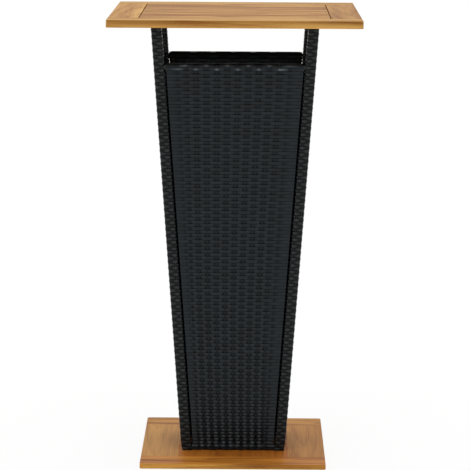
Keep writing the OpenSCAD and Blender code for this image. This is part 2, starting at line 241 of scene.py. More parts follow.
def makeWood(slot):
    look = woodLooks[slot]
    size = woodGrain
    material, tree, shader = newMaterial(
        "oiledAcacia_" + slot, Roughness=look["roughness"], Specular_IOR_Level=look["shine"])
    place = addNode(tree, "ShaderNodeAttribute", attribute_name="grain").outputs["Vector"]
    toneAndShade = addNode(tree, "ShaderNodeAttribute", attribute_name="toneAndShade").outputs["Vector"]

    # Noise drawn out along the grain, to the width and length of one kind of figure
    def grainNoise(kind, detail, roughness=0.5):
        across = 1 / size[kind + "Width"]
        drawn = addNode(tree, "ShaderNodeVectorMath", {
            0: place,
            1: (1 / size[kind + "Length"], across, across),
        }, operation="MULTIPLY")
        return addNode(tree, "ShaderNodeTexNoise", {
            "Vector": drawn,
            "Scale": 1.0,
            "Detail": detail,
            "Roughness": roughness,
        })

    # Slow wander of the growth lines
    shift = addNode(tree, "ShaderNodeMath", {0: grainNoise("wander", 3.0), 1: 0.5}, operation="SUBTRACT")
    shift = addNode(tree, "ShaderNodeMath", {0: shift, 1: size["wander"]}, operation="MULTIPLY")

    # Rings round the heart of the log, which runs below the board and slowly sinks
    parts = addNode(tree, "ShaderNodeSeparateXYZ", {0: place})
    sunk = addNode(tree, "ShaderNodeMath", {
        0: parts.outputs[0],
        1: size["heartTilt"],
        2: size["heartDepth"],
    }, operation="MULTIPLY_ADD")
    below = addNode(tree, "ShaderNodeMath", {0: parts.outputs[2], 1: sunk}, operation="ADD")
    across = addNode(tree, "ShaderNodeMath", {0: parts.outputs[1], 1: shift}, operation="ADD")
    flat = addNode(tree, "ShaderNodeCombineXYZ", {0: across, 1: below, 2: 0.0})
    radius = addNode(tree, "ShaderNodeVectorMath", {0: flat}, operation="LENGTH").outputs["Value"]
    radius = addNode(tree, "ShaderNodeMath", {0: radius, 1: shift}, operation="ADD")
    rings = addNode(tree, "ShaderNodeMath", {0: radius, 1: size["ringWidth"]}, operation="DIVIDE")
    rings = addNode(tree, "ShaderNodeMath", {0: rings}, operation="FRACT")
    # A slow rise and a quick fall in each ring: early wood, then a dark late line
    late = addNode(tree, "ShaderNodeMapRange", {
        "Value": rings,
        "From Min": size["lineFrom"],
        "From Max": size["lineTo"],
    })
    late = addNode(tree, "ShaderNodeMath", {0: late, 1: size["lineSharpness"]}, operation="POWER")
    fall = addNode(tree, "ShaderNodeMapRange", {
        "Value": rings,
        "From Min": size["lineTo"],
        "From Max": 1.0,
        "To Min": 1.0,
        "To Max": 0.0,
    })
    late = addNode(tree, "ShaderNodeMath", {0: late, 1: fall}, operation="MULTIPLY")

    # How dark each place is: bands, rings, fibres and pores together
    dark = addNode(tree, "ShaderNodeMapRange", {
        "Value": grainNoise("band", 2.0),
        "From Min": size["bandRange"][0],
        "From Max": size["bandRange"][1],
        "To Min": 0.0,
        "To Max": look["bands"],
    })
    fibres = grainNoise("fibre", 4.0, 0.6)
    streak = addNode(tree, "ShaderNodeMath", {0: fibres, 1: 0.5}, operation="SUBTRACT")
    openPores = addNode(tree, "ShaderNodeMapRange", {
        "Value": grainNoise("pore", 1.0),
        "From Min": size["poreRange"][0],
        "From Max": size["poreRange"][1],
    })
    for source, amount in ((late, look["lines"]), (streak, look["fibres"]), (openPores, size["poreDark"])):
        dark = addNode(tree, "ShaderNodeMath", {0: source, 1: amount, 2: dark}, operation="MULTIPLY_ADD")
    dark.use_clamp = True
    ground = addNode(tree, "ShaderNodeMix", {
        "Factor": dark,
        6: hexToLinear(look["light"]),
        7: hexToLinear(look["dark"]),
    }, data_type="RGBA")
    tinted = addNode(tree, "ShaderNodeVectorMath", {0: ground.outputs[2], 1: toneAndShade}, operation="MULTIPLY")
    tree.links.new(tinted.outputs[0], shader.inputs["Base Color"])

    relief = addNode(tree, "ShaderNodeMath", {0: openPores, 1: -1.0, 2: fibres}, operation="MULTIPLY_ADD")
    bump = addNode(tree, "ShaderNodeBump", {
        "Strength": size["reliefStrength"],
        "Distance": size["relief"],
        "Height": relief,
    })
    tree.links.new(bump.outputs[0], shader.inputs["Normal"])
    return material


# Extruded polyethylene strand, woven: near black, satin, with fine ribs drawn along each strand.
# Painted shade and sheen go with how far a strand is bent, from under a stake to over one: they darken
# its colour and shine where it dives under a stake, and are full on a leg over a stake, on a panel full
# on the way between two stakes.
strandLooks = {
    "rattan_wrap": {
        "colour": "#0f1314", "pale": "#1b1f20", "roughness": 0.3, "shine": 0.27,
        "paintedShadeAndSheen": (
            (-1.8, 0.05), (-1.0, 0.35), (-0.5, 0.62), (0.0, 0.75), (0.5, 0.95), (1.0, 1.2), (2.0, 1.7),
        ),
    },
    "rattan_panel": {
        "colour": "#091014", "pale": "#111a1f", "roughness": 0.3, "shine": 0.24,
        "paintedShadeAndSheen": (
            (-1.8, 0.04), (-1.0, 0.58), (-0.5, 0.88), (0.0, 1.0), (0.6, 1.0), (0.95, 0.94), (1.15, 0.55),
            (1.5, 0.06), (2.0, 0.04),
        ),
    },
}
strandFinish = {
    "stakeBend": -0.6,  # the bend that a stake counts for, which darkens it as painted shade
    "folded": 3.5,  # painted glint added in a fold: over the stakes at the rim, between them at the foot
    "foldedFrom": 3.4 * mm,  # from the middle of the strand
    "foldedTo": 0.8 * mm,
    "toneLength": 50 * mm,  # over which the tone drifts along a strand
    "toneStep": 0.37,  # from one strand to the next
    "toneRange": (0.3, 0.7),  # noise from dark to pale
    "ribWidth": 1.25 * mm,
    "ribHeight": 0.12 * mm,
    "ribStrength": 0.25,
}


def makeStrand(slot):
    look = strandLooks[slot]
    material, tree, shader = newMaterial("wovenPolyethylene_" + slot, Roughness=look["roughness"])
    bent, folded, across, along, number = (
        addNode(tree, "ShaderNodeAttribute", attribute_name=field).outputs["Fac"]
        for field in ("bent", "folded", "across", "along", "strand")
    )
    # Painted shade and sheen: a level read from the bend, which scales the strand's colour and its shine
    under, over = look["paintedShadeAndSheen"][0][0], look["paintedShadeAndSheen"][-1][0]
    bent = addNode(tree, "ShaderNodeMapRange", {"Value": bent, "From Min": under, "From Max": over})
    paintedShadeAndSheen = addNode(tree, "ShaderNodeValToRGB", {0: bent})
    steps = paintedShadeAndSheen.color_ramp.elements
    for bend, level in look["paintedShadeAndSheen"][1:-1]:
        steps.new((bend - under) / (over - under)).color = (level, level, level, 1.0)
    for end in (0, -1):
        level = look["paintedShadeAndSheen"][end][1]
        steps[end].color = (level, level, level, 1.0)
    # Painted glint along the middle of the strand, added to the painted shade and sheen
    aside = addNode(tree, "ShaderNodeMath", {0: across}, operation="ABSOLUTE")
    ridge = addNode(tree, "ShaderNodeMapRange", {
        "Value": aside,
        "From Min": strandFinish["foldedFrom"],
        "From Max": strandFinish["foldedTo"],
        "To Max": strandFinish["folded"],
    })
    paintedShadeAndSheen = addNode(tree, "ShaderNodeMath", {0: folded, 1: ridge, 2: paintedShadeAndSheen}, operation="MULTIPLY_ADD")
    shine = addNode(tree, "ShaderNodeMath", {0: paintedShadeAndSheen, 1: look["shine"]}, operation="MULTIPLY")
    tree.links.new(shine.outputs[0], shader.inputs["Specular IOR Level"])
    spot = addNode(tree, "ShaderNodeCombineXYZ", {0: along, 1: number, 2: 0.0})
    spotScale = (1 / strandFinish["toneLength"], strandFinish["toneStep"], 1.0)
    spot = addNode(tree, "ShaderNodeVectorMath", {0: spot, 1: spotScale}, operation="MULTIPLY")
    drift = addNode(tree, "ShaderNodeTexNoise", {"Vector": spot, "Scale": 1.0, "Detail": 2.0})
    tone = addNode(tree, "ShaderNodeMapRange", {
        "Value": drift,
        "From Min": strandFinish["toneRange"][0],
        "From Max": strandFinish["toneRange"][1],
    })
    colour = addNode(tree, "ShaderNodeMix", {
        "Factor": tone,
        6: hexToLinear(look["colour"]),
        7: hexToLinear(look["pale"]),
    }, data_type="RGBA")
    # The colour is darkened and lightened by the painted shade and sheen
    colour = addNode(tree, "ShaderNodeVectorMath", {0: colour.outputs[2], 1: paintedShadeAndSheen}, operation="MULTIPLY")
    tree.links.new(colour.outputs[0], shader.inputs["Base Color"])
    ribTurn = 2 * math.pi / strandFinish["ribWidth"]
    ribs = addNode(tree, "ShaderNodeMath", {0: across, 1: ribTurn}, operation="MULTIPLY")
    ribs = addNode(tree, "ShaderNodeMath", {0: ribs}, operation="SINE")
    bump = addNode(tree, "ShaderNodeBump", {
        "Strength": strandFinish["ribStrength"],
        "Distance": strandFinish["ribHeight"],
        "Height": ribs,
    })
    tree.links.new(bump.outputs[0], shader.inputs["Normal"])
    return material


# Plain finishes: two close colours in cloudy patches, some with a fine relief
plainLooks = {
    # Powder-coated steel: matt black, with the orange peel of a baked coat, a lump in every 1.4 mm
    "coated_steel": {
        "name": "powderCoatedSteel", "shader": {"Roughness": 0.5}, "dark": "#141414", "pale": "#202020",
        "cloudScale": 0.022 / mm, "cloudDetail": 3.0,
        "reliefScale": 0.7 / mm, "relief": 0.1 * mm, "reliefStrength": 0.3,
    },
    # Bright zinc plate on cold-headed steel: pale grey, with a soft cloud in every 3.8 mm
    "zinc_steel": {
        "name": "zincPlatedSteel", "shader": {"Metallic": 1.0}, "dark": "#a4a6a8", "pale": "#c6c8ca",
        "cloudScale": 0.26 / mm, "cloudDetail": 3.0, "roughness": (0.28, 0.46),
    },
    # Moulded nylon: dark grey, slightly waxy, with a grain of the sparked mould in every 1.1 mm
    "glide_plastic": {
        "name": "mouldedNylon", "shader": {"Roughness": 0.48}, "dark": "#303030", "pale": "#3b3b3a",
        "cloudScale": 0.9 / mm, "cloudDetail": 2.0,
        "reliefScale": 0.9 / mm, "relief": 0.08 * mm, "reliefStrength": 0.2,
    },
}


def makePlain(slot):
    look = plainLooks[slot]
    material, tree, shader = newMaterial(look["name"], **look["shader"])
    place = addNode(tree, "ShaderNodeTexCoord").outputs["Object"]
    cloud = addNode(tree, "ShaderNodeTexNoise", {
        "Vector": place,
        "Scale": look["cloudScale"],
        "Detail": look["cloudDetail"],
    })
    colour = addNode(tree, "ShaderNodeMix", {
        "Factor": cloud,
        6: hexToLinear(look["dark"]),
        7: hexToLinear(look["pale"]),
    }, data_type="RGBA")
    tree.links.new(colour.outputs[2], shader.inputs["Base Color"])
    if "roughness" in look:
        low, high = look["roughness"]
        rough = addNode(tree, "ShaderNodeMapRange", {"Value": cloud, "To Min": low, "To Max": high})
        tree.links.new(rough.outputs[0], shader.inputs["Roughness"])
    if "relief" in look:
        fine = addNode(tree, "ShaderNodeTexNoise", {
            "Vector": place,
            "Scale": look["reliefScale"],
            "Detail": 2.0,
        })
        bump = addNode(tree, "ShaderNodeBump", {
            "Strength": look["reliefStrength"],
            "Distance": look["relief"],
            "Height": fine,
        })
        tree.links.new(bump.outputs[0], shader.inputs["Normal"])
    return material


materials = {slot: makeWood(slot) for slot in woodLooks}
materials.update({slot: makeStrand(slot) for slot in strandLooks})
materials.update({slot: makePlain(slot) for slot in plainLooks})
nodeSlots = {part["node"]: part["material_slot"] for part in frame["record"]["subparts"]}
for nodeName, nodeObject in frame["nodes"].items():
    nodeObject.data.materials.clear()
    nodeObject.data.materials.append(materials[nodeSlots[nodeName]])
print("bar table: materials made")

# Wooden boards
boards = {
    "easedEdge": {"top": 0.8 * mm, "base": 0.4 * mm},
    "easedSteps": 3,
    "sharpAngle": 40,  # degrees between two faces of an edge that is eased
    "flatAngle": 1,  # degrees up to which two faces count as one
    "samePoint": 0.002 * mm,
    "shortEdge": 0.5 * mm,  # shorter edges belong to screw holes
    "holeInset": 12 * mm,  # edges this far inside a board belong to bolt sinks
    "seed": 14,
    # where in the log a board may be cut, in metres along, across and through it
    "cut": ((-0.3, 0.3), (-0.035, 0.035), (-0.008, 0.012)),
    # colour of each board against its material; boards 2 to 4 of the base are also darkened and made more
    # orange as painted shade and painted reflection of the tower on them
    "tonesAndShade": {
        "top_rail_front": (0.97, 0.95, 0.89),
        "top_rail_back": (0.9, 0.9, 0.88),
        "top_stile_left": (0.99, 0.95, 0.93),
        "top_stile_right": (0.75, 0.67, 0.64),
        "top_board_1": (0.98, 0.97, 0.92),
        "top_board_2": (0.98, 0.97, 0.9),
        "top_board_3": (0.86, 0.83, 0.76),
        "top_board_4": (0.84, 0.78, 0.74),
        "top_board_5": (0.93, 0.91, 0.84),
        "base_board_1": (1.0, 1.03, 1.03),
        # painted shade and reflection of the tower, on the boards in front of and under it
        "base_board_2": (0.75, 0.53, 0.29),
        "base_board_3": (0.71, 0.48, 0.24),
        "base_board_4": (0.73, 0.5, 0.26),
        "base_board_5": (0.86, 0.79, 0.65),
        "base_rail_back": (1.0, 1.18, 1.6),
    },
    # front face of the front boards against their other faces, at the upper and the lower corner: painted
    # light and shade from the top to the bottom of that face
    "frontLightAndShade": {
        "top_rail_front": ((0.62, 0.52, 0.4), (1.2, 1.19, 1.18)),
        "base_rail_front": ((0.89, 1.06, 1.35), (1.0, 1.26, 1.75)),
    },
}


def makeBoard(name, dice):
    low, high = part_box(name)
    shape = bmesh.new()
    shape.from_mesh(frame["nodes"][name].data)
    bmesh.ops.remove_doubles(shape, verts=shape.verts, dist=boards["samePoint"])
    flatAngle = math.radians(boards["flatAngle"])
    bmesh.ops.dissolve_limit(shape, angle_limit=flatAngle, verts=shape.verts, edges=shape.edges)
    inset = boards["holeInset"]
    eased = []
    for edge in shape.edges:
        if not edge.is_manifold or not edge.is_convex or edge.calc_length() < boards["shortEdge"]:
            continue
        middle = (edge.verts[0].co + edge.verts[1].co) / 2
        inside = all(low[i] + inset < middle[i] < high[i] - inset for i in (0, 1))
        if not inside and edge.calc_face_angle(0) > math.radians(boards["sharpAngle"]):
            eased.append(edge)
    bmesh.ops.bevel(shape, geom=eased, offset=boards["easedEdge"][name.split("_")[0]],
        segments=boards["easedSteps"], profile=0.5, affect="EDGES", clamp_overlap=True)
    mesh = bpy.data.meshes.new(name + "_wood")
    shape.to_mesh(mesh)
    shape.free()

    # Grain runs along the longer side; each board is cut from another part of the log
    size = high - low
    runsAlongX = size.x > size.y
    start = [dice.uniform(*limits) for limits in boards["cut"]]
    heading = dice.choice((-1, 1))
    centre = (low + high) / 2
    grain = mesh.attributes.new("grain", "FLOAT_VECTOR", "POINT")
    toneAndShade = mesh.attributes.new("toneAndShade", "FLOAT_VECTOR", "POINT")
    tintValue = boards["tonesAndShade"].get(name) or (dice.uniform(0.94, 1.05),) * 3
    frontShading = boards["frontLightAndShade"].get(name)
    for vertex in mesh.vertices:
        place = vertex.co - centre
        along, across = (place.x, place.y) if runsAlongX else (place.y, place.x)
        grain.data[vertex.index].vector = (heading * along + start[0], across + start[1], place.z + start[2])
        toneAndShade.data[vertex.index].vector = tintValue
        # The front face is lighter or darker from top to bottom as painted light and shade
        if frontShading and vertex.co.y < low.y + 0.1 * mm:
            frontShade = frontShading[0 if place.z > 0 else 1]
            toneAndShade.data[vertex.index].vector = [a * b for a, b in zip(tintValue, frontShade)]
    mesh.materials.append(materials[nodeSlots[name]])
    board = addObject(name + "_wood", mesh)
    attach(board, "root")
    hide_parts(name)


boardDice = random.Random(boards["seed"])
for nodeName in sorted(frame["nodes"]):
    if nodeSlots[nodeName] in woodLooks:
        makeBoard(nodeName, boardDice)
print("bar table: boards made")

# Woven tower, measured over the legs on the base and under the top
tower = {
    "footZ": 14 * mm,
    "topZ": 1082 * mm,
    "footWide": 258 * mm,
    "topWide": 404 * mm,
    "footDeep": 200 * mm,
    "topDeep": 344 * mm,
    "turns": {"front": 0, "right": 90, "back": 180, "left": 270},  # degrees
}
# What all its weaves share
weave = {
    "sectionCorners": 8,
    "drop": 0.7 * mm,  # how far a strand may lie off its row
    "unevenScale": 0.9,
    "unevenReach": 9.0,  # noise units from the middle to the end of a side
    "foldPower": 9.0,  # how closely the painted glint of a fold keeps to its stake
    "flatBelow": 0.6,  # looseness below which a row lies flat on a bar
    "flatBend": -1.8,  # the bend that it then counts for, which darkens it as painted shade
    "samePoint": 0.05 * mm,
}


# Half of the tower's width or depth at height z, as a start and a slope
def halfLine(foot, top):
    slope = (top - foot) / 2 / (tower["topZ"] - tower["footZ"])
    return foot / 2 - slope * tower["footZ"], slope


halfWide = halfLine(tower["footWide"], tower["topWide"])
halfDeep = halfLine(tower["footDeep"], tower["topDeep"])

# Values that the strand template carries from point to point: those of a weft, those of a row
weftFields = ("share", "shift", "lift", "swingX", "swingOut", "bend", "wrapX", "free", "stake")
riseFields = ("loose", "wrap", "cut", "fold", "bow")
strandFields = ("rise",) + weftFields + riseFields


# One weft and one rise path, as two chains of points with their values
def templateMesh(name, weft, rise, closed):
    points = [(i * mm, 0, 0) for i in range(len(weft))]
    points += [(0, point["depth"], point["height"]) for point in rise]
    edges = [(i, i + 1) for i in range(len(weft) - 1)]
    if closed:
        edges.append((len(weft) - 1, 0))
    edges += [(i, i + 1) for i in range(len(weft), len(points) - 1)]
    mesh = bpy.data.meshes.new(name)
    mesh.from_pydata(points, edges, [])
    values = weft + [dict(point, rise=1.0) for point in rise]
    for field in strandFields:
        attribute = mesh.attributes.new(field, "FLOAT", "POINT")
        attribute.data.foreach_set("value", [point.get(field, 0.0) for point in values])
    return mesh


# Weaves one template: a weft in each row of the rise path, and a stake at each marked point
def weaveTree():
    tree = bpy.data.node_groups.new("weaveStrands", "GeometryNodeTree")
    tree.interface.new_socket("Geometry", in_out="OUTPUT", socket_type="NodeSocketGeometry")
    tree.interface.new_socket("Geometry", in_out="INPUT", socket_type="NodeSocketGeometry")
    kinds = {"Rows": "Int", "Material": "Material"}
    for label in (
        "Rows", "Along Start", "Along Slope", "Across Start", "Across Slope", "Turn", "Strand Width",
        "Strand Thickness", "Stake Width", "Stake Thickness", "Swing", "Stake Swing", "Stake Sink",
        "Unevenness", "Seed", "Material",
    ):
        kind = "NodeSocket" + kinds.get(label, "Float")
        tree.interface.new_socket(label, in_out="INPUT", socket_type=kind)
    given = addNode(tree, "NodeGroupInput").outputs
    value = {field: addNode(tree, "GeometryNodeInputNamedAttribute", {"Name": field})
        for field in strandFields + ("number",)}
    placeAt = addNode(tree, "GeometryNodeInputNamedAttribute", {"Name": "place"}, data_type="FLOAT_VECTOR")
    wayAt = addNode(tree, "GeometryNodeInputNamedAttribute", {"Name": "way"}, data_type="FLOAT_VECTOR")
    split = addNode(tree, "GeometryNodeSeparateGeometry", {
        "Geometry": given["Geometry"],
        "Selection": value["rise"],
    }, domain="POINT")
    # Each half drops the other half's values, which would hide those that it is given later
    risePath, weftMesh = split.outputs["Selection"], split.outputs["Inverted"]
    for field in weftFields:
        risePath = addNode(tree, "GeometryNodeRemoveAttribute", {"Geometry": risePath, "Name": field})
    for field in riseFields:
        weftMesh = addNode(tree, "GeometryNodeRemoveAttribute", {"Geometry": weftMesh, "Name": field})
    riseCurve = addNode(tree, "GeometryNodeMeshToCurve", {"Mesh": risePath})
    place = addNode(tree, "ShaderNodeSeparateXYZ", {0: placeAt})
    way = addNode(tree, "ShaderNodeSeparateXYZ", {0: wayAt})
    outY = addNode(tree, "ShaderNodeMath", {0: way.outputs[2], 1: -1.0}, operation="MULTIPLY")
    outward = addNode(tree, "ShaderNodeCombineXYZ", {0: 0.0, 1: outY, 2: way.outputs[1]})

    # Points of the rise path with their place, direction and number
    def risePoints(count):
        points = addNode(tree, "GeometryNodeResampleCurve", {"Curve": riseCurve, "Count": count})
        for label, source, kind in (
            ("place", "Position", "FLOAT_VECTOR"),
            ("way", "Tangent", "FLOAT_VECTOR"),
            ("number", "Index", "FLOAT"),
        ):
            points = addNode(tree, "GeometryNodeStoreNamedAttribute", {
                "Geometry": points,
                "Name": label,
                "Value": addNode(tree, "GeometryNodeInput" + source),
            }, data_type=kind, domain="POINT")
        return points

    # Where a point lies, with its swing in or out of the weave and how deep it is sunk
    def wovenPlace(swing, sunk=0.0):
        reach = addNode(tree, "ShaderNodeMath", {
            0: place.outputs[2],
            1: given["Along Slope"],
            2: given["Along Start"],
        }, operation="MULTIPLY_ADD")
        reach = addNode(tree, "ShaderNodeMath", {0: reach, 1: value["cut"]}, operation="SUBTRACT")
        x = value["shift"]
        for part, amount in (
            (reach, value["share"]), (value["wrapX"], value["wrap"]), (value["free"], value["bow"]),
            (value["swingX"], swing),
        ):
            x = addNode(tree, "ShaderNodeMath", {0: part, 1: amount, 2: x}, operation="MULTIPLY_ADD")
        out = addNode(tree, "ShaderNodeMath", {0: value["lift"], 1: value["wrap"]}, operation="MULTIPLY")
        out = addNode(tree, "ShaderNodeMath", {
            0: value["swingOut"],
            1: swing,
            2: out,
        }, operation="MULTIPLY_ADD")
        out = addNode(tree, "ShaderNodeMath", {0: out, 1: sunk}, operation="SUBTRACT")
        moved = addNode(tree, "ShaderNodeVectorMath", {0: outward, "Scale": out}, operation="SCALE")
        moved = addNode(tree, "ShaderNodeVectorMath", {0: moved, 1: placeAt}, operation="ADD")
        start = addNode(tree, "ShaderNodeCombineXYZ", {0: x, 1: 0.0, 2: 0.0})
        return addNode(tree, "ShaderNodeVectorMath", {0: moved, 1: start}, operation="ADD")

    # Lens-shaped section of a strand, its width across the run
    def section(width, thickness):
        ring = addNode(tree, "GeometryNodeCurvePrimitiveCircle", {
            "Resolution": weave["sectionCorners"],
            "Radius": 0.5,
        })
        scale = addNode(tree, "ShaderNodeCombineXYZ", {0: thickness, 1: width, 2: 1.0})
        flat = addNode(tree, "GeometryNodeTransform", {"Geometry": ring, "Scale": scale})
        spread = addNode(tree, "ShaderNodeSeparateXYZ", {0: addNode(tree, "GeometryNodeInputPosition")})
        return addNode(tree, "GeometryNodeStoreNamedAttribute", {
            "Geometry": flat,
            "Name": "across",
            "Value": spread.outputs[1],
        })

    # Sweeps the section along the strands, flat side out
    def sweep(curves, flatSide, profile):
        parameter = addNode(tree, "GeometryNodeSplineParameter")
        measured = addNode(tree, "GeometryNodeStoreNamedAttribute", {
            "Geometry": curves,
            "Name": "along",
            "Value": parameter.outputs["Length"],
        })
        turned = addNode(tree, "GeometryNodeSetCurveNormal", {
            "Curve": measured,
            "Normal": flatSide,
        }, mode="FREE")
        return addNode(tree, "GeometryNodeCurveToMesh", {
            "Curve": turned,
            "Profile Curve": profile,
            "Fill Caps": True,
        })

    # Wefts: a copy of the template in every row, swung the other way in every second row
    rows = risePoints(given["Rows"])
    rows = addNode(tree, "GeometryNodeCurveToPoints", {"Curve": rows}, mode="EVALUATED")
    copies = addNode(tree, "GeometryNodeInstanceOnPoints", {"Points": rows, "Instance": weftMesh})
    wefts = addNode(tree, "GeometryNodeRealizeInstances", {"Geometry": copies})
    half = addNode(tree, "ShaderNodeMath", {0: value["number"], 1: 2.0}, operation="MODULO")
    parity = addNode(tree, "ShaderNodeMath", {0: half, 1: -2.0, 2: 1.0}, operation="MULTIPLY_ADD")
    reach = addNode(tree, "ShaderNodeMath", {
        0: value["share"],
        1: weave["unevenReach"],
        2: value["shift"],
    }, operation="MULTIPLY_ADD")
    spot = addNode(tree, "ShaderNodeCombineXYZ", {0: reach, 1: value["number"], 2: given["Seed"]})
    uneven = addNode(tree, "ShaderNodeTexNoise", {
        "Vector": spot,
        "Scale": weave["unevenScale"],
        "Detail": 1.0,
    })
    uneven = addNode(tree, "ShaderNodeMath", {0: uneven, 1: 0.5}, operation="SUBTRACT")
    drop = addNode(tree, "ShaderNodeMath", {0: uneven, 1: weave["drop"]}, operation="MULTIPLY")
    drop = addNode(tree, "ShaderNodeVectorMath", {0: wayAt, "Scale": drop}, operation="SCALE")
    vary = addNode(tree, "ShaderNodeMath", {
        0: uneven,
        1: given["Unevenness"],
        2: 1.0,
    }, operation="MULTIPLY_ADD")
    swing = parity
    for factor in (given["Swing"], value["loose"], vary):
        swing = addNode(tree, "ShaderNodeMath", {0: swing, 1: factor}, operation="MULTIPLY")
    bend = addNode(tree, "ShaderNodeMath", {0: value["bend"], 1: parity}, operation="MULTIPLY")
    # A painted glint over the stakes, and where its value is negative between them
    over = addNode(tree, "ShaderNodeMath", {0: bend, 1: 0.0}, operation="MAXIMUM")
    over = addNode(tree, "ShaderNodeMath", {0: over, 1: weave["foldPower"]}, operation="POWER")
    between = addNode(tree, "ShaderNodeMath", {0: bend}, operation="ABSOLUTE")
    between = addNode(tree, "ShaderNodeMath", {0: 1.0, 1: between}, operation="SUBTRACT")
    glints = []
    for spread, side in ((over, "MAXIMUM"), (between, "MINIMUM")):
        amount = addNode(tree, "ShaderNodeMath", {0: value["fold"], 1: 0.0}, operation=side)
        glints.append(addNode(tree, "ShaderNodeMath", {0: spread, 1: amount}, operation="MULTIPLY"))
    fold = addNode(tree, "ShaderNodeMath", {0: glints[0], 1: glints[1]}, operation="SUBTRACT")
    for factor in (value["loose"], vary):
        bend = addNode(tree, "ShaderNodeMath", {0: bend, 1: factor}, operation="MULTIPLY")
    # Rows that lie flat on a bar are darkened as painted shade
    flatShade = addNode(tree, "ShaderNodeMapRange", {
        "Value": value["loose"],
        "From Min": 0.0,
        "From Max": weave["flatBelow"],
        "To Min": weave["flatBend"],
        "To Max": 0.0,
    })
    bend = addNode(tree, "ShaderNodeMath", {0: bend, 1: flatShade}, operation="ADD")
    for label, source in (("bent", bend), ("folded", fold)):
        wefts = addNode(tree, "GeometryNodeStoreNamedAttribute", {
            "Geometry": wefts,
            "Name": label,
            "Value": source,
        })
    wefts = addNode(tree, "GeometryNodeSetPosition", {
        "Geometry": wefts,
        "Position": wovenPlace(swing),
        "Offset": drop,
    })
    wefts = addNode(tree, "GeometryNodeMergeByDistance", {"Geometry": wefts, "Distance": weave["samePoint"]})
    wefts = addNode(tree, "GeometryNodeMeshToCurve", {"Mesh": wefts})
    run = addNode(tree, "GeometryNodeInputTangent")
    flatSide = addNode(tree, "ShaderNodeVectorMath", {0: wayAt, 1: run}, operation="CROSS_PRODUCT")
    wefts = sweep(wefts, flatSide, section(given["Strand Width"], given["Strand Thickness"]))

    # Stakes: the rise path at each marked point, two steps to a row, swung against the wefts
    steps = addNode(tree, "ShaderNodeMath", {0: given["Rows"], 1: 2.0, 2: -1.0}, operation="MULTIPLY_ADD")
    marked = addNode(tree, "GeometryNodeMeshToPoints", {"Mesh": weftMesh, "Selection": value["stake"]})
    path = risePoints(steps)
    stakes = addNode(tree, "GeometryNodeInstanceOnPoints", {"Points": marked, "Instance": path})
    stakes = addNode(tree, "GeometryNodeRealizeInstances", {"Geometry": stakes})
    phase = addNode(tree, "ShaderNodeMath", {0: value["number"], 1: math.pi / 2}, operation="MULTIPLY")
    phase = addNode(tree, "ShaderNodeMath", {0: phase}, operation="COSINE")
    counter = addNode(tree, "ShaderNodeMath", {0: phase, 1: given["Stake Swing"]}, operation="MULTIPLY")
    counter = addNode(tree, "ShaderNodeMath", {0: counter, 1: -1.0}, operation="MULTIPLY")
    sunk = addNode(tree, "ShaderNodeMath", {0: 1.0, 1: value["loose"]}, operation="SUBTRACT")
    sunk = addNode(tree, "ShaderNodeMath", {0: sunk, 1: given["Stake Sink"]}, operation="MULTIPLY")
    stakes = addNode(tree, "GeometryNodeSetPosition", {
        "Geometry": stakes,
        "Position": wovenPlace(counter, sunk),
    })
    sideways = addNode(tree, "ShaderNodeCombineXYZ", {0: value["swingX"], 1: 0.0, 2: 0.0})
    facing = addNode(tree, "ShaderNodeVectorMath", {
        0: outward,
        "Scale": value["swingOut"],
    }, operation="SCALE")
    facing = addNode(tree, "ShaderNodeVectorMath", {0: facing, 1: sideways}, operation="ADD")
    # Stakes take a fixed bend, which darkens them as painted shade
    stakes = addNode(tree, "GeometryNodeStoreNamedAttribute", {
        "Geometry": stakes,
        "Name": "bent",
        "Value": strandFinish["stakeBend"],
    })
    stakes = sweep(stakes, facing, section(given["Stake Width"], given["Stake Thickness"]))

    # Lean the whole weave with the tower and turn it to its side
    woven = addNode(tree, "GeometryNodeJoinGeometry")
    tree.links.new(wefts.outputs[0], woven.inputs[0])
    tree.links.new(stakes.outputs[0], woven.inputs[0])
    position = addNode(tree, "GeometryNodeInputPosition")
    height = addNode(tree, "ShaderNodeSeparateXYZ", {0: position})
    lean = addNode(tree, "ShaderNodeMath", {
        0: height.outputs[2],
        1: given["Across Slope"],
        2: given["Across Start"],
    }, operation="MULTIPLY_ADD")
    lean = addNode(tree, "ShaderNodeMath", {0: lean, 1: -1.0}, operation="MULTIPLY")
    lean = addNode(tree, "ShaderNodeCombineXYZ", {0: 0.0, 1: lean, 2: 0.0})
    woven = addNode(tree, "GeometryNodeSetPosition", {"Geometry": woven, "Offset": lean})
    turn = addNode(tree, "ShaderNodeCombineXYZ", {0: 0.0, 1: 0.0, 2: given["Turn"]})
    woven = addNode(tree, "GeometryNodeTransform", {"Geometry": woven, "Rotation": turn})
    woven = addNode(tree, "GeometryNodeStoreNamedAttribute", {
        "Geometry": woven,
        "Name": "strand",
        "Value": value["number"],
    })
    for label in strandFields + ("number", "place", "way"):
        woven = addNode(tree, "GeometryNodeRemoveAttribute", {"Geometry": woven, "Name": label})
    woven = addNode(tree, "GeometryNodeSetShadeSmooth", {"Geometry": woven, "Shade Smooth": True})
    woven = addNode(tree, "GeometryNodeRealizeInstances", {"Geometry": woven})
    woven = addNode(tree, "GeometryNodeSetMaterial", {"Geometry": woven, "Material": given["Material"]})
    result = addNode(tree, "NodeGroupOutput")
    tree.links.new(woven.outputs[0], result.inputs[0])
    return tree


strandTree = weaveTree()


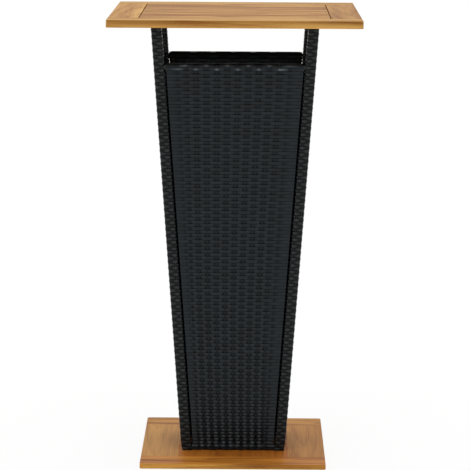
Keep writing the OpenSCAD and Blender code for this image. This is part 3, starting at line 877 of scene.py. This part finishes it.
# Weaves a template in place of a node and turns it to its side. Settings that bear a socket's name
# go straight to that socket.
def weavePiece(name, node, template, settings, side, rows, along, across, index):
    piece = addObject(name, template)
    modifier = piece.modifiers.new("weave", "NODES")
    modifier.node_group = strandTree
    inputs = {
        **settings,
        "Rows": rows,
        "Along Start": along[0] - settings["endInset"],
        "Along Slope": along[1],
        "Across Start": across[0],
        "Across Slope": across[1],
        "Turn": math.radians(tower["turns"][side]),
        "Seed": settings["seed"] + settings["seedStep"] * index,
        "Material": materials[nodeSlots[node]],
    }
    for item in strandTree.interface.items_tree:
        if item.in_out == "INPUT" and item.name in inputs:
            modifier[item.identifier] = inputs[item.name]
    graph = bpy.context.evaluated_depsgraph_get()
    mesh = bpy.data.meshes.new_from_object(piece.evaluated_get(graph))
    piece.modifiers.clear()
    piece.data = mesh
    bpy.data.meshes.remove(template)
    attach(piece, "root")
    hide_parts(node)
    print("bar table:", name, len(mesh.polygons), "faces")


# Flat strands in rows 8.15 mm apart, over one stake and under the next
panel = {
    "pitch": 8.15 * mm,
    "endInset": 29 * mm,  # leg and seam
    "centreDepth": 5.2 * mm,  # middle of the weave behind the legs' outer faces
    "barDepth": 4.35 * mm,  # middle of a strand that lies on a bar
    "backDepth": 15.0 * mm,
    "footZ": 15.5 * mm,
    "crownZ": 985.2 * mm,
    "barLift": 0.9 * mm,  # a strand on an upright bar, in front of the rest
    "barBend": 0.3,
    "stakeInsetFoot": 20.2 * mm,  # outermost stakes, from the ends of the panel
    "stakeInsetRim": 52.4 * mm,
    "footBow": -6.5 * mm,  # how far the stakes stray along the side
    "rimBow": -5.3 * mm,
    # between the outermost stake and the bar: a small crest, its values against a stake's
    "crestInset": 11.5 * mm,
    "crestSwing": -0.4,
    "crestBend": -0.93,
    "crestLift": 0.4,
    "stakes": {"front": 10, "back": 10, "left": 8, "right": 8},
    "endReach": {"front": 1.3, "back": 2.3, "left": 1.3, "right": 1.3},  # mm into the seam
    "Swing": 1.5 * mm,
    "Stake Swing": 0.15 * mm,
    "Stake Sink": 1.3 * mm,  # a stake runs under the tight rows on the foot and rim bars
    "Strand Width": 9.0 * mm,  # pressed together, so each strand overlaps the next a little
    "Strand Thickness": 1.15 * mm,
    "Stake Width": 5.0 * mm,
    "Stake Thickness": 1.3 * mm,
    "Unevenness": 0.4,
    "seed": 3.7,
    "seedStep": 11.3,
}


# From the inner side of the foot bar, under it, up the outer face and over the rim bar. A point has
# its depth, height, looseness, share in the wrap round the upright bars, cut off its length, painted
# glint and bow of the stakes.
def panelRise():
    near, bar, back = panel["centreDepth"], panel["barDepth"], panel["backDepth"]
    foot, crown = panel["footZ"], panel["crownZ"]
    footBow, rimBow = panel["footBow"], panel["rimBow"]
    path = [
        (back, foot + 14.5 * mm, 0.2, 0.0, 0.0, 0.0, footBow),
        (back, foot + 2.4 * mm, 0.2, 0.0, 0.0, 0.0, footBow),
        (back - 2.4 * mm, foot, 0.2, 0.0, 0.0, 0.0, footBow),
        (bar + 2.2 * mm, foot, 0.2, 0.0, 0.0, 0.0, footBow),
        (bar - 0.6 * mm, foot + 2.2 * mm, 0.9, 0.0, 0.0, -0.6, footBow),
        (bar - 0.6 * mm, foot + 8 * mm, 1.0, 0.0, 0.0, -0.6, footBow),
        (bar, foot + 10 * mm, 1.3, 0.0, 0.0, -0.45, footBow),
        (near - 0.4 * mm, foot + 13 * mm, 1.5, 1.0, 0.0, -0.35, footBow),
        (near, foot + 18 * mm, 1.5, 1.0, 0.0, -0.3, footBow),
        (near, foot + 70 * mm, 1.38, 1.0, 0.0, -0.1, -8.5 * mm),
        (near, foot + 150 * mm, 1.18, 1.0, 0.0, 0.0, -10 * mm),
        (near, foot + 350 * mm, 1.07, 1.0, 0.0, 0.0, -12 * mm),
        (near, foot + 550 * mm, 1.0, 1.0, 0.0, 0.0, -10.2 * mm),
        (near, foot + 740 * mm, 0.95, 1.0, 0.0, 0.0, -8 * mm),
        (near, crown - 70 * mm, 0.92, 1.0, 0.0, 0.0, rimBow),
        (near, crown - 24 * mm, 1.0, 1.0, 0.0, 0.0, rimBow),
        (near - 0.2 * mm, crown - 19 * mm, 1.0, 1.0, 0.0, 0.0, rimBow),
        (bar - 0.5 * mm, crown - 14 * mm, 1.0, 0.0, 0.6 * mm, 1.0, rimBow),
        (bar - 0.5 * mm, crown - 5 * mm, 1.0, 0.0, 0.9 * mm, 1.0, rimBow),
        (bar + 1.6 * mm, crown - 1.6 * mm, 0.2, 0.0, 3.4 * mm, 0.0, rimBow),
        (bar + 3.6 * mm, crown, 0.0, 0.0, 5.6 * mm, 0.0, rimBow),
        (back - 3.4 * mm, crown, 0.0, 0.0, 5.6 * mm, 0.0, rimBow),
        (back - 1.0 * mm, crown - 1.2 * mm, 0.2, 0.0, 3.0 * mm, 0.0, rimBow),
        (back, crown - 4 * mm, 0.2, 0.0, 0.5 * mm, 0.0, rimBow),
        (back, crown - 40 * mm, 0.2, 0.0, -0.8 * mm, 0.0, rimBow),
    ]
    # A row lies on the middle of the crown, and the path ends two rows after it
    lengths = [math.dist(a[:2], b[:2]) for a, b in zip(path, path[1:])]
    crest = [point[1] for point in path].index(crown)
    toCrown = sum(lengths[:crest]) + lengths[crest] / 2
    count = round(toCrown / panel["pitch"])
    left = toCrown / count * 2 - lengths[crest] / 2 - sum(lengths[crest + 1:-1])
    path[-1] = (path[-1][0], path[-2][1] - left) + path[-1][2:]
    keys = ("depth", "height", "loose", "wrap", "cut", "fold", "bow")
    return [dict(zip(keys, point)) for point in path], count + 3


def panelWeft(side, along):
    start, slope = along
    low, high = (start + slope * z - panel["endInset"] for z in (panel["footZ"], panel["crownZ"]))
    gaps = panel["stakes"][side] - 1
    # The outermost stake's inset grows from foot to rim, so it is a share of the width and a shift
    outerShare = 1 - (panel["stakeInsetRim"] - panel["stakeInsetFoot"]) / (high - low)
    outerShift = low - panel["stakeInsetFoot"] - outerShare * low
    middle = []
    for quarter in range(4 * gaps + 1):
        k = quarter / 4
        swing = -math.cos(math.pi * k)
        middle.append({
            "share": outerShare * (2 * k / gaps - 1),
            "shift": outerShift * (2 * k / gaps - 1),
            "swingOut": swing,
            "bend": swing,
            "free": 1.0,
            "stake": 1.0 if quarter % 4 == 0 else 0.0,
        })

    # Round the upright bar: a small crest beside it, the front, the end and the back
    def aroundBar(last):
        lift = panel["barLift"]
        points = [{
            "share": (outerShare + 1) / 2,
            "shift": (outerShift - panel["crestInset"]) / 2,
            "swingOut": panel["crestSwing"] * last,
            "bend": panel["crestBend"] * last,
            "free": 0.5,
            "lift": panel["crestLift"] * lift,
        }]
        for inset, height in ((10.8, 0.7), (10, 0.95), (7, 1.0), (2.6, 0.95), (1.5, 0.75)):
            points.append({
                "share": 1.0,
                "shift": -inset * mm,
                "lift": height * lift,
                "bend": panel["barBend"],
            })
        end = -panel["endReach"][side]
        behind = ((0.8, 0.6), (0.4, 2.4), (end, 5.2), (end, 7.4), (0.7, 9.3), (3.0, 9.8), (11.6, 9.8))
        for inset, depth in behind:
            points.append({
                "share": 1.0,
                "shift": -end * mm,
                "wrapX": (end - inset) * mm,
                "lift": -depth * mm,
            })
        return points

    first, last = middle[0]["swingOut"], middle[-1]["swingOut"]
    mirrored = [
        dict(point, share=-point["share"], shift=-point["shift"], wrapX=-point.get("wrapX", 0.0))
        for point in aroundBar(first)
    ]
    return mirrored[::-1] + middle + aroundBar(last)


rise, rowCount = panelRise()
for index, side in enumerate(("front", "right", "back", "left")):
    along, across = (halfWide, halfDeep) if side in ("front", "back") else (halfDeep, halfWide)
    template = templateMesh("panel_" + side, panelWeft(side, along), rise, False)
    weavePiece("panel_" + side, "weave_" + side, template, panel, side, rowCount, along, across, index)

# The same weave drawn tight round a leg: eight stakes, two on each face
sleeve = {
    "pitch": 8.15 * mm,
    "low": 14.2 * mm,
    "high": 1078.8 * mm,
    "endInset": 0.0,
    "legWide": 26 * mm,
    "ringHalf": 11.9 * mm,  # middle of the weave from the middle of the leg
    "cornerRadius": 3.2 * mm,
    "stakeOff": 6.0 * mm,  # stakes, from the middle of a face
    "cornerSwing": 0.6,  # on both sides of a corner, against a stake's
    "footCuts": (1.8 * mm, 0.4 * mm, 0.0),
    "Swing": 0.8 * mm,
    "Stake Swing": 0.3 * mm,
    "Strand Width": 7.7 * mm,
    "Strand Thickness": 1.15 * mm,
    "Stake Width": 3.6 * mm,
    "Stake Thickness": 0.9 * mm,
    "Unevenness": 0.4,
    "seed": 51.2,
    "seedStep": 7.9,
}


def sleeveWeft(hand):
    half, off, radius = sleeve["ringHalf"], sleeve["stakeOff"], sleeve["cornerRadius"]
    flat = half - radius
    corner = sleeve["cornerSwing"]
    # One face from its first stake to the corner: place along it and swing
    face = ((-off, 1.0), (-off / 2, 0.7), (0, 0.0), (off / 2, -0.7), (off, -1.0), (flat, -corner))
    ring = []
    for quarter in range(4):
        turn = Matrix.Rotation(quarter * math.pi / 2, 2)
        for index, (x, swing) in enumerate(face):
            ring.append((turn @ Vector((x, -half)), turn @ Vector((0, -1)), swing, index in (0, 4)))
        for eighth in (1, 2, 3):
            s, c = math.sin(eighth * math.pi / 8), math.cos(eighth * math.pi / 8)
            place = turn @ Vector((flat + radius * s, -flat - radius * c))
            ring.append((place, turn @ Vector((s, -c)), corner * (eighth / 2 - 1), False))
        ring.append((turn @ Vector((half, -flat)), turn @ Vector((1, 0)), corner, False))
    middle = sleeve["legWide"] / 2
    return [{
        "share": hand,
        "shift": place.x - hand * middle,
        "lift": -place.y - middle,
        "swingX": out.x * swing,
        "swingOut": -out.y * swing,
        "bend": swing,
        "stake": 1.0 if isStake else 0.0,
    } for place, out, swing, isStake in ring]


def sleeveRise():
    count = round((sleeve["high"] - sleeve["low"]) / sleeve["pitch"])
    step = (sleeve["high"] - sleeve["low"]) / count
    # The lowest rows are drawn in, which rounds the foot of the leg
    heights = [(sleeve["low"] + (row + 0.5) * step, cut) for row, cut in enumerate(sleeve["footCuts"])]
    heights.append((sleeve["high"] - step / 2, 0.0))
    return [{"depth": 0.0, "height": z, "loose": 1.0, "wrap": 1.0, "cut": cut} for z, cut in heights], count


rise, rowCount = sleeveRise()
for index, (corner, hand) in enumerate((
    ("front_left", -1), ("front_right", 1), ("back_left", 1), ("back_right", -1),
)):
    name, side = "sleeve_" + corner, corner.split("_")[0]
    template = templateMesh(name, sleeveWeft(hand), rise, True)
    weavePiece(name, "leg_wrap_" + corner, template, sleeve, side, rowCount, halfWide, halfDeep, index)

# Bars across the middle of the panels, set back so that no strand touches them
crossBar = {
    "front": 9.2 * mm,  # depth of both faces behind the legs' outer faces
    "back": 13.5 * mm,
    "eased": 1.0 * mm,
}


def makeCrossBar(name, node, isWide):
    low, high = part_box(node)
    front, back, eased = crossBar["front"], crossBar["back"], crossBar["eased"]
    section = (
        (front + eased, low.z), (back - eased, low.z), (back, low.z + eased), (back, high.z - eased),
        (back - eased, high.z), (front + eased, high.z), (front, high.z - eased), (front, low.z + eased),
    )
    start, slope = halfDeep if isWide else halfWide
    ends = (low.x, high.x) if isWide else (low.y, high.y)
    # Which way the outer face looks, along the axis across the bar
    outward = 1 if (low + high)[1 if isWide else 0] > 0 else -1
    points = []
    for along in ends:
        for depth, z in section:
            out = outward * (start + slope * z - depth)
            points.append((along, out, z) if isWide else (out, along, z))
    count = len(section)
    faces = [(i, (i + 1) % count, count + (i + 1) % count, count + i) for i in range(count)]
    faces += [tuple(range(count))[::-1], tuple(range(count, 2 * count))]
    mesh = bpy.data.meshes.new(name)
    mesh.from_pydata(points, [], faces)
    shape = bmesh.new()
    shape.from_mesh(mesh)
    bmesh.ops.recalc_face_normals(shape, faces=shape.faces)
    shape.to_mesh(mesh)
    shape.free()
    mesh.materials.append(materials[nodeSlots[node]])
    bar = addObject(name, mesh)
    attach(bar, "root")
    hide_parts(node)


for side in ("front", "back", "left", "right"):
    makeCrossBar("crossbar_" + side, "mid_rail_" + side, side in ("front", "back"))
print("bar table: crossbars made")
